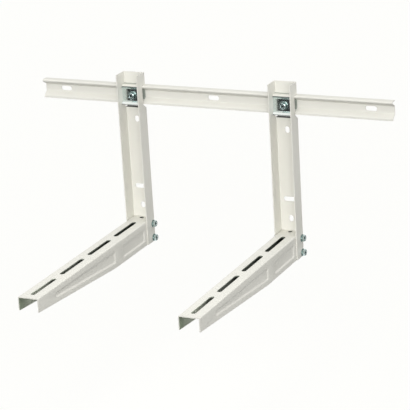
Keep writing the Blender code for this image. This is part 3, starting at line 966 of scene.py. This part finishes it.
@dataclass
class Arm:
    """One arm: an inverted U channel with slots in its top and pressed panels in its webs."""

    post: Post
    length: float = 0.510
    rear_height: float = 0.0525
    front_height: float = 0.0288
    kink: float = 0.186
    slot_count: int = 4
    slot_length: float = 0.094
    slot_width: float = 0.010
    slot_gap: float = 0.024
    slot_inset: float = 0.017
    hole_diameter: float = 0.009
    hole_from_wall: float = 0.0115
    panel_corner: float = 0.0055
    panel_side_inset: float = 0.0095
    panel_top_inset: float = 0.012
    panel_from_kink: float = 0.003
    panel_from_free_end: float = 0.069
    panel_rib: float = 0.032
    panel_from_post: float = 0.010
    panel_soft_top: float = 0.006
    sheet: float = 0.002

    @property
    def top(self) -> float:
        """Height of the arm's top face."""
        return self.post.bottom + self.rear_height

    @property
    def width(self) -> float:
        """Width over the arm's webs, just clear of the post's flanges."""
        return self.post.width - 2 * self.post.sheet - 2 * FIT

    def lower_edge(self, along: float) -> float:
        """Height of a web's lower edge above the post's foot, at a distance from the wall."""
        taper = (self.rear_height - self.front_height) / (self.length - self.kink)
        return max(0.0, (along - self.kink) * taper)

    def panels(self) -> list[PressedPanel]:
        """The short panel beside the post and the long one under the tapered length."""
        top = self.rear_height - self.panel_top_inset - self.panel_corner
        ends = [
            (self.post.depth + self.panel_from_post, self.kink - self.panel_from_kink - self.panel_rib),
            (self.kink - self.panel_from_kink, self.length - self.panel_from_free_end),
        ]
        made = []
        for first, last in ends:
            near, far = first + self.panel_corner, last - self.panel_corner
            low = [self.lower_edge(u) + self.panel_side_inset + self.panel_corner for u in (near, far)]
            high = [top - min(self.panel_soft_top, (top - v) / 2) for v in low]
            edge = [(near, low[0]), (far, low[1]), (far, top), (near, top)]
            floor = [(near, low[0]), (far, low[1]), (far, high[1]), (near, high[0])]
            made.append(PressedPanel(edge, floor, self.panel_corner))
        return made

    def build(self, maker: Maker, side: Side, bolt_heights: Sequence[float]) -> None:
        """Builds the arm of one side.

        Args:
            maker: Makes the piece.
            side: Its bracket.
            bolt_heights: Heights of its bolt holes.
        """
        half = self.sheet / 2
        bottom = self.post.bottom
        section = channel(side.value, self.width / 2 - half, bottom, self.top - half)
        skin = SheetSkin(section, (EAST, UP), -NORTH, self.sheet)
        web, across = skin.width(0), skin.width(1)
        rear, end = self.sheet + FIT, self.length
        outline = [(rear, 0.0), (self.kink, 0.0), (end, self.lower_edge(end)), (end, web), (rear, web)]
        bolt_place, radius = self.post.bolt_from_wall, self.post.bolt_hole / 2
        bolt_holes = [rounded([(bolt_place, z - bottom)], radius) for z in bolt_heights]
        skin.add_flanges(outline, bolt_holes, self.panels())
        skin.add_flat(1, band(rear, end, across), self.holes(across / 2))
        skin.add_bends((rear, end))
        form = skin.solid()
        # The arm's inner faces and the walls of its slots and hole take the painted light and shade of its
        # inside.
        patch = [*form.inner, *self.hole_walls(form, side.value)]
        maker.piece(f"{side.word}_arm", Finish.POWDER_COAT, form, SHEET_EDGE, patch, maker.inside_shade)

    def hole_walls(self, form: Form, middle: float) -> list[int]:
        """Numbers of the faces inside the slots and the round hole."""
        reach = self.slot_width / 2 + FIT
        return [n for n in form.rim if all(abs(form.points[i].x - middle) < reach for i in form.faces[n])]

    def holes(self, middle: float) -> list[Loop]:
        """The long slots for the unit's feet and the small round hole beside the post."""
        radius = self.slot_width / 2
        reach = self.slot_length / 2 - radius
        pitch = self.slot_length + self.slot_gap
        first = self.length - self.slot_inset - self.slot_length / 2
        made = [
            level_slot(first - number * pitch, middle, reach, radius) for number in range(self.slot_count)
        ]
        made.append(rounded([(self.hole_from_wall, middle)], self.hole_diameter / 2))
        return made


@dataclass
class ClampPlate:
    """The zinc plated clamp plate inside each post, on the rail's nose and lip."""

    rail: WallRail
    width: float
    sheet: float = 0.003
    bend_radius: float = 0.0015
    lip_angle: float = math.radians(45.0)
    upper_lip: float = 0.0045
    lower_lip: float = 0.009
    lower_bend: float = 0.0055
    bolt_drop: float = 0.002
    bolt_hole: float = 0.0086

    @property
    def back(self) -> float:
        """How far the plate's back stands off the wall."""
        return self.rail.lip_depth + FIT

    def build(self, maker: Maker, side: Side) -> None:
        """Builds the plate of one side."""
        half = self.sheet / 2
        flat_y = -(self.back + half)
        out, rise = math.sin(self.lip_angle), math.cos(self.lip_angle)
        nose, nose_radius = self.rail.nose()
        clear = nose_radius + FIT + half
        upper = (rise * (nose.x - flat_y) + out * nose.y - clear) / out
        lower = self.lower_bend - self.rail.height / 2
        foot = (flat_y - out * self.lower_lip, lower - rise * self.lower_lip)
        head = (flat_y - out * self.upper_lip, upper + rise * self.upper_lip)
        corners = [foot, (flat_y, lower), (flat_y, upper), head]
        skin = SheetSkin(corners, (NORTH, UP), EAST, self.sheet, self.bend_radius)
        bolt_flat = 1
        bolt_place = (side.value, -self.bolt_drop - skin.starts[bolt_flat].y)
        reach = self.width / 2
        bolt_hole = rounded([bolt_place], self.bolt_hole / 2)
        skin.add_length(side.value - reach, side.value + reach, bolt_flat, [bolt_hole])
        form = skin.solid()
        name = f"{side.word}_clamp_plate"
        maker.piece(name, Finish.PLATE_ZINC, form, PLATE_EDGE, form.rim, maker.shaded_sheared_edge)


@dataclass
class Turning:
    """Rings of points about an axis, lofted into one closed form."""

    stations: int = 48
    rings: list[list[Point]] = field(default_factory=list)

    def add(self, *profile: tuple[Size, Size]) -> Turning:
        """Adds a ring for each radius and height, numbers or functions of the angle, and returns itself."""
        for sizes in profile:
            ring = []
            for place in range(self.stations):
                angle = 2 * math.pi * place / self.stations
                radius, height = (size(angle) if callable(size) else size for size in sizes)
                ring.append((radius * math.cos(angle), radius * math.sin(angle), height))
            self.rings.append(ring)
        return self

    def form(self, matrix: Matrix, closed: bool) -> Form:
        """The lofted form.

        Args:
            matrix: Where it goes.
            closed: Whether the last ring joins the first, as on a nut, or both ends are capped.

        Returns:
            The form.
        """
        points = [matrix @ Vector(point) for ring in self.rings for point in ring]
        count = len(self.rings)
        faces: list[tuple[int, ...]] = []
        for number in range(count if closed else count - 1):
            base, above = number * self.stations, (number + 1) % count * self.stations
            for place in range(self.stations):
                after = (place + 1) % self.stations
                faces.append((base + place, base + after, above + after, above + place))
        if not closed:
            last = (count - 1) * self.stations
            faces.append(tuple(reversed(range(self.stations))))
            faces.append(tuple(last + place for place in range(self.stations)))
        return Form(points, faces)


@dataclass
class HexFastener:
    """Sizes that the M8 bolts, nuts and washers share, with the forms made from them.

    Attributes:
        corner_share: How much of a sharp hexagon's corner is left.
        face_share: Flat circle on a hexagon's end, as a share of the flats.
        face_round: How far in and down the head's upper circle is rounded.
        foot_round: How far in and up the head's lower edge is rounded.
        dish: The dish's profile, as shares of its radius and depth.
        fillet: How far out and down the shank widens under the head.
        crest: How steep the thread's flanks are, and how far they sink.
        tip: How far in and up the shank's tip is chamfered.
        washer_roll: How far a washer's upper edge is rolled, and half-way round.
    """

    diameter: float = 0.008
    pitch: float = 0.00125
    thread_depth: float = 0.00068
    flats: float = 0.013
    head_height: float = 0.0053
    nut_height: float = 0.0065
    washer_thickness: float = 0.0016
    chamfer: float = math.radians(30.0)
    corner_share: float = 0.985
    face_share: float = 0.95
    face_round: Pair = (0.0002, 0.00003)
    foot_round: Pair = (0.0002, 0.0003)
    dish_radius: float = 0.0038
    dish_depth: float = 0.0007
    dish: tuple[Pair, ...] = ((0.55, 1.0), (0.85, 0.8), (0.97, 0.2), (1.06, 0.0))
    neck: float = 0.0006
    fillet: Pair = (0.0001, 0.0004)
    run_out: float = 0.0012
    thread_steps: int = 6
    crest: Pair = (2.6, 0.15)
    crest_drop: float = 0.00005
    tip: Pair = (0.0005, 0.0003)
    bore_chamfer: float = 0.0005
    washer_burr: float = 0.0001
    washer_roll: Pair = (0.0004, 0.00012)
    washer_bore: float = 0.0002

    @property
    def face_radius(self) -> float:
        """Radius of the flat circle on a hexagon's end."""
        return self.face_share * self.flats / 2

    def corner_radius(self, angle: float) -> float:
        """Distance from the axis to the hexagon's side at an angle."""
        from_flat = (angle + math.pi / 6) % (math.pi / 3) - math.pi / 6
        return min(self.flats / 2 / math.cos(from_flat), self.corner_share * self.flats / math.sqrt(3))

    def fall(self, angle: float) -> float:
        """How far the chamfer falls at the hexagon's side."""
        return (self.corner_radius(angle) - self.face_radius) * math.tan(self.chamfer)

    def thread_radius(self, angle: float, z: float) -> float:
        """Radius of the rolled thread at an angle and height."""
        turn = (z / self.pitch - angle / (2 * math.pi)) % 1.0
        steepness, sinking = self.crest
        height = min(1.0, max(0.0, steepness * abs(turn - 0.5) - sinking))
        return self.diameter / 2 - self.crest_drop - self.thread_depth * (1.0 - height)

    def bolt(self, length: float, matrix: Matrix) -> Form:
        """A bolt with the underside of its head at z = 0 and its threaded shank running down.

        Args:
            length: Length under the head.
            matrix: Where it goes.

        Returns:
            Its form.
        """
        top, shank = self.head_height, self.diameter / 2
        root = shank - self.thread_depth
        dish = [(self.dish_radius * share, top - self.dish_depth * deep) for share, deep in self.dish]
        rings = Turning().add(
            *dish,
            (self.face_radius - self.face_round[0], top),
            (self.face_radius, top - self.face_round[1]),
            (self.corner_radius, lambda angle: top - self.fall(angle)),
            (self.corner_radius, self.foot_round[1]),
            (lambda angle: self.corner_radius(angle) - self.foot_round[0], 0.0),
            (shank + self.fillet[0], 0.0),
            (shank - self.crest_drop, -self.fillet[1]),
        )
        step = self.pitch / self.thread_steps
        for row in range(int((length - self.run_out - self.neck) / step)):
            z = -self.neck - self.run_out / 2 - row * step
            rings.add((lambda angle, z=z: self.thread_radius(angle, z), z))
        rings.add((root, -length + self.tip[1]), (root - self.tip[0], -length))
        return rings.form(matrix, closed=False)

    def nut(self, matrix: Matrix) -> Form:
        """A nut between z = 0 and its height."""
        bore = self.diameter / 2 + FIT
        top = self.nut_height
        rings = Turning().add(
            (bore, self.bore_chamfer),
            (bore + self.bore_chamfer, 0.0),
            (self.face_radius, 0.0),
            (self.corner_radius, self.fall),
            (self.corner_radius, lambda angle: top - self.fall(angle)),
            (self.face_radius, top),
            (bore + self.bore_chamfer, top),
            (bore, top - self.bore_chamfer),
        )
        return rings.form(matrix, closed=True)

    def washer(self, diameter: float, matrix: Matrix) -> Form:
        """A punched washer between z = 0 and its thickness, with one rolled edge."""
        bore, outer = self.diameter / 2 + FIT, diameter / 2
        top = self.washer_thickness
        roll, half_way = self.washer_roll
        rings = Turning().add(
            (bore, 0.0),
            (outer - self.washer_burr, 0.0),
            (outer, self.washer_burr),
            (outer, top - roll),
            (outer - half_way, top - half_way),
            (outer - roll, top),
            (bore + self.washer_bore, top),
            (bore, top - self.washer_bore),
        )
        return rings.form(matrix, closed=True)


def seat(place: Point, axis: str) -> Matrix:
    """A place whose Z is turned by a quarter about an axis."""
    return Matrix.Translation(place) @ Matrix.Rotation(math.pi / 2, 4, axis)


@dataclass
class Fastenings:
    """The bolts, nuts and washers of one bracket."""

    post: Post
    clamp: ClampPlate
    hexes: HexFastener = field(default_factory=HexFastener)
    clamp_washer: float = 0.018
    arm_washer: float = 0.016
    stick_out: float = 0.003

    def build(self, maker: Maker, side: Side, bolt_heights: dict[Level, float]) -> None:
        """Builds the fasteners of one side.

        Args:
            maker: Makes the pieces.
            side: Their bracket.
            bolt_heights: Height of each arm bolt.
        """
        forms = self.clamp_bolt(side)
        for level, z in bolt_heights.items():
            forms |= self.arm_bolt(side, level, z)
        for name, form in forms.items():
            # Washers take the darker zinc, with painted shade.
            finish = Finish.WASHER_ZINC if "washer" in name else Finish.BOLT_ZINC
            maker.piece(f"{side.word}_{name}", finish, form)

    def clamp_bolt(self, side: Side) -> dict[str, Form]:
        """The washer, bolt and nut through the clamp plate, with Z pointing away from the wall."""
        hexes, back = self.hexes, self.clamp.back
        x, z = side.value, -self.clamp.bolt_drop
        washer = -(back + self.clamp.sheet + FIT)
        head = washer - hexes.washer_thickness - FIT
        nut = -back + FIT + hexes.nut_height
        length = back + self.clamp.sheet + hexes.washer_thickness + FIT - self.post.sheet
        return {
            "clamp_washer": hexes.washer(self.clamp_washer, seat((x, washer, z), "X")),
            "clamp_bolt": hexes.bolt(length, seat((x, head, z), "X")),
            "clamp_nut": hexes.nut(seat((x, nut, z), "X")),
        }

    def arm_bolt(self, side: Side, level: Level, z: float) -> dict[str, Form]:
        """One bolt through the post and the arm, with its washers and nut and Z pointing to the right."""
        hexes, word = self.hexes, level.value
        x, y = side.value, -self.post.bolt_from_wall
        washer = self.post.width / 2 + FIT
        head = washer + hexes.washer_thickness + FIT
        length = self.post.width + 2 * (hexes.washer_thickness + 2 * FIT) + hexes.nut_height + self.stick_out
        far_washer, nut = -washer - hexes.washer_thickness, -head - hexes.nut_height
        return {
            f"arm_washer_{word}": hexes.washer(self.arm_washer, seat((x + washer, y, z), "Y")),
            f"arm_bolt_{word}": hexes.bolt(length, seat((x + head, y, z), "Y")),
            f"nut_washer_{word}": hexes.washer(self.arm_washer, seat((x + far_washer, y, z), "Y")),
            f"arm_nut_{word}": hexes.nut(seat((x + nut, y, z), "Y")),
        }


@dataclass
class Bracket:
    """One bracket on the rail: its post, its arm, its clamp and its fasteners."""

    rail: WallRail
    side: Side
    bolt_from_top: float = 0.0122
    bolt_from_bottom: float = 0.0085

    def build(self, maker: Maker) -> None:
        """Builds the whole bracket."""
        post = Post(self.rail)
        arm = Arm(post)
        clamp = ClampPlate(self.rail, arm.width)
        heights = {
            Level.UPPER: arm.top - self.bolt_from_top,
            Level.LOWER: post.bottom + self.bolt_from_bottom,
        }
        post.build(maker, self.side, list(heights.values()))
        arm.build(maker, self.side, list(heights.values()))
        clamp.build(maker, self.side)
        Fastenings(post, clamp).build(maker, self.side, heights)


@dataclass(frozen=True)
class Lamp:
    """A soft lamp: far and wide, or a square softbox that hangs close by.

    Attributes:
        name: Its name.
        strength: Its strength, or a softbox's power.
        spread: The angle that it covers, in degrees.
        place: Direction to a far lamp, or where a softbox hangs.
        aim: The point that a softbox faces.
        size: Length of a softbox's sides, or 0 for a far lamp.
    """

    name: str
    strength: float
    spread: float
    place: Point
    aim: Point = (0.0, 0.0, 0.0)
    size: float = 0.0

    def build(self) -> None:
        """Puts the lamp in the scene."""
        light = bpy.data.lights.new(self.name, "AREA" if self.size else "SUN")
        light.energy = self.strength
        lamp = put_in_scene(self.name, light)
        lamp.rotation_mode = "QUATERNION"
        lamp.rotation_quaternion = (Vector(self.place) - Vector(self.aim)).to_track_quat("Z", "Y")
        if self.size:
            light.size = self.size
            light.spread = math.radians(self.spread)
            lamp.location = self.place
            lamp.visible_camera = lamp.visible_glossy = False
        else:
            light.angle = math.radians(self.spread)


def studio_sheet(name: str, corners: Sequence[Point], coating: bpy.types.Material) -> bpy.types.Object:
    """A flat sheet with four corners."""
    mesh = bpy.data.meshes.new(name)
    mesh.from_pydata(corners, [], [(0, 1, 2, 3)])
    mesh.materials.append(coating)
    return put_in_scene(name, mesh)


@dataclass(frozen=True)
class Card:
    """A card that shows only in the metal.

    Attributes:
        name: Its name.
        sides: X of its two sides.
        near: Y and Z of one edge.
        far: Y and Z of the opposite edge.
    """

    name: str
    sides: Pair
    near: Pair
    far: Pair

    def build(self, coating: bpy.types.Material) -> None:
        """Puts the card in the scene."""
        left, right = self.sides
        corners = [(left, *self.near), (right, *self.near), (right, *self.far), (left, *self.far)]
        card = studio_sheet(self.name, corners, coating)
        card.visible_camera = False
        card.visible_diffuse = False
        card.visible_shadow = False
        card.visible_transmission = False


@dataclass
class Studio:
    """The floor, the soft lights, the dark cards that the metal reflects and the camera."""

    floor_size: float = 60.0
    sky: float = 0.83
    white: Colour = (0.985, 0.985, 0.965, 1.0)
    lamps: tuple[Lamp, ...] = (
        Lamp("key_lamp", 2.05, 40.0, (0.336, -0.925, 0.174)),
        Lamp("right_lamp", 0.2, 34.0, (0.72, -0.22, 0.62)),
        Lamp("arm_softbox", 0.27, 60.0, (0.1, -0.62, 0.45), aim=(0.0, -0.42, -0.28), size=0.5),
    )
    cards: tuple[Card, ...] = (
        Card("front_card", (-1.5, 0.25), (-0.9, FLOOR_HEIGHT), (-0.9, 0.0)),
        Card("upper_card", (-1.5, 0.25), (0.0, 0.6), (0.45, 0.6)),
        Card("right_card", (-0.1, 1.3), (0.6, FLOOR_HEIGHT), (0.6, -0.47)),
    )
    camera_distance: float = 4.0
    camera_reach: float = 100.0
    azimuth: float = 25.9157
    elevation: float = 18.3999
    roll: float = -3.4519
    lens: float = 171.622
    target: Point = (0.03718, -0.150, -0.18441)

    def build(self) -> None:
        """Sets up the whole studio."""
        self.world()
        self.floor()
        for lamp in self.lamps:
            lamp.build()
        coating = DarkCard().material()
        for card in self.cards:
            card.build(coating)
        self.camera()
        bpy.context.scene.view_settings.view_transform = "Standard"

    def world(self) -> None:
        """White where it is seen, and a soft sky for the light on surfaces."""
        world = bpy.data.worlds.new("studio")
        bpy.context.scene.world = world
        nodes = NodeTree(world)
        strength = nodes.between(nodes.seen(), self.sky, 1.0)
        sky = nodes.add("Background", Color=self.white, Strength=strength)
        nodes.add("OutputWorld", Surface=sky.outputs["Background"])

    def floor(self) -> None:
        """A wide pale floor well below the bracket."""
        half, z = self.floor_size / 2, FLOOR_HEIGHT
        corners = [(-half, -half, z), (half, -half, z), (half, half, z), (-half, half, z)]
        floor = studio_sheet("floor", corners, StudioFloor().material())

    def camera(self) -> None:
        """The camera at the photograph's angle."""
        azimuth, elevation, roll = map(math.radians, (self.azimuth, self.elevation, self.roll))
        ahead = math.cos(elevation)
        view = Vector((-math.sin(azimuth) * ahead, math.cos(azimuth) * ahead, -math.sin(elevation)))
        level = Vector((math.cos(azimuth), math.sin(azimuth), 0.0))
        upright = level.cross(view)
        right = level * math.cos(roll) + upright * math.sin(roll)
        up = upright * math.cos(roll) - level * math.sin(roll)
        data = bpy.data.cameras.new("camera")
        data.lens = self.lens
        data.clip_end = self.camera_reach
        camera = put_in_scene("camera", data)
        axes = Matrix((right, up, -view)).transposed().to_4x4()
        camera.matrix_world = Matrix.Translation(Vector(self.target) - view * self.camera_distance) @ axes
        bpy.context.scene.camera = camera


def main() -> None:
    """Builds the bracket's pieces and the studio round them."""
    maker = Maker()
    rail = WallRail()
    rail.build(maker)
    for side in Side:
        Bracket(rail, side).build(maker)
        log.info("%s bracket done", side.word)
    Studio().build()


if __name__ == "__main__":
    main()
